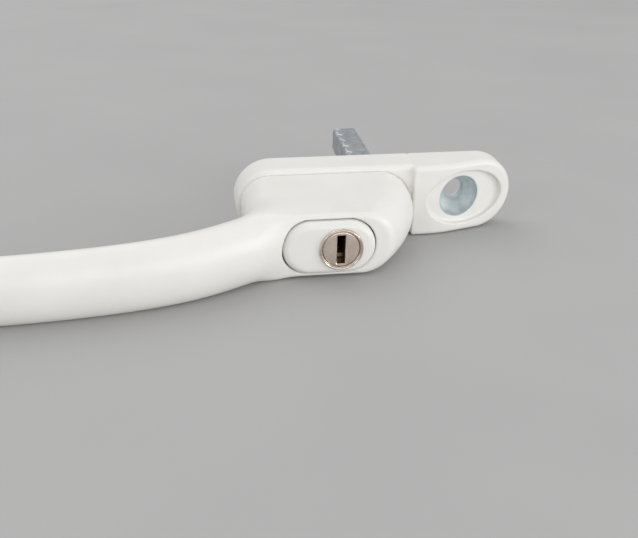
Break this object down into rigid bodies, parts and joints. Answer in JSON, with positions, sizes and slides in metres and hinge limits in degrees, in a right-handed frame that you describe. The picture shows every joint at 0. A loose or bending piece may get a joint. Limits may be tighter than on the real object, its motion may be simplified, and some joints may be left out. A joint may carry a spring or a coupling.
{
  "type": "keyed window handle lock",
  "caption": "Inline window handle on a narrow two-hole base, with a square spindle and a push button that carries a keyed cylinder and a locking pin.",
  "frame": {"origin": "where the spindle axis crosses the back face of the base", "axes": "+Y along the spindle into the window, +X along the base away from the lever, +Z across the base"},
  "size_m": [0.1585, 0.0916, 0.019],
  "materials": {
    "white_coat": "satin white powder coat on cast zinc",
    "nickel": "satin nickel plate",
    "zinc_steel": "bright bluish zinc plate",
    "spring_steel": "bright drawn wire and strip",
    "brass": "stamped, bare",
    "nylon": "natural nylon"
  },
  "bodies": {
    "base": {"base_plate": "white_coat", "base_bush": "nylon", "spring_washer": "spring_steel"},
    "lever": {"lever_handle": "white_coat", "spindle": "zinc_steel", "spindle_pin": "zinc_steel", "thrust_washer": "zinc_steel", "retaining_ring": "spring_steel", "button_spring": "spring_steel"},
    "button": {"push_button": "white_coat", "cylinder_housing": "nickel", "cylinder_grub_screw": "zinc_steel", "locking_pin": "zinc_steel"},
    "plug": {"key_plug": "nickel", "wafers": "brass", "wafer_springs": "spring_steel", "plug_cam": "zinc_steel", "cam_screw": "zinc_steel"},
    "catch": {"lock_catch": "zinc_steel"}
  },
  "joints": [
    {"name": "lever_turn", "type": "hinge", "parent": "base", "child": "lever", "pos_m": [0, 0, 0], "axis": [0, 1, 0], "range_deg": [-90, 90]},
    {"name": "button_press", "type": "slide", "parent": "lever", "child": "button", "axis": [0, 1, 0], "range_m": [0, 0.0025], "stiffness_N_per_m": 600, "springref_m": -0.003, "deforming": ["button_spring"]},
    {"name": "key_turn", "type": "hinge", "parent": "button", "child": "plug", "pos_m": [-0.01475, 0, 0], "axis": [0, 1, 0], "range_deg": [0, 90]},
    {"name": "catch_slide", "type": "slide", "parent": "button", "child": "catch", "axis": [0, 0, 1], "range_m": [0, 0.0012]}
  ],
  "couplings": [
    {"joint": "catch_slide", "follows": "key_turn", "m_per_rad": 0.00076394}
  ]
}
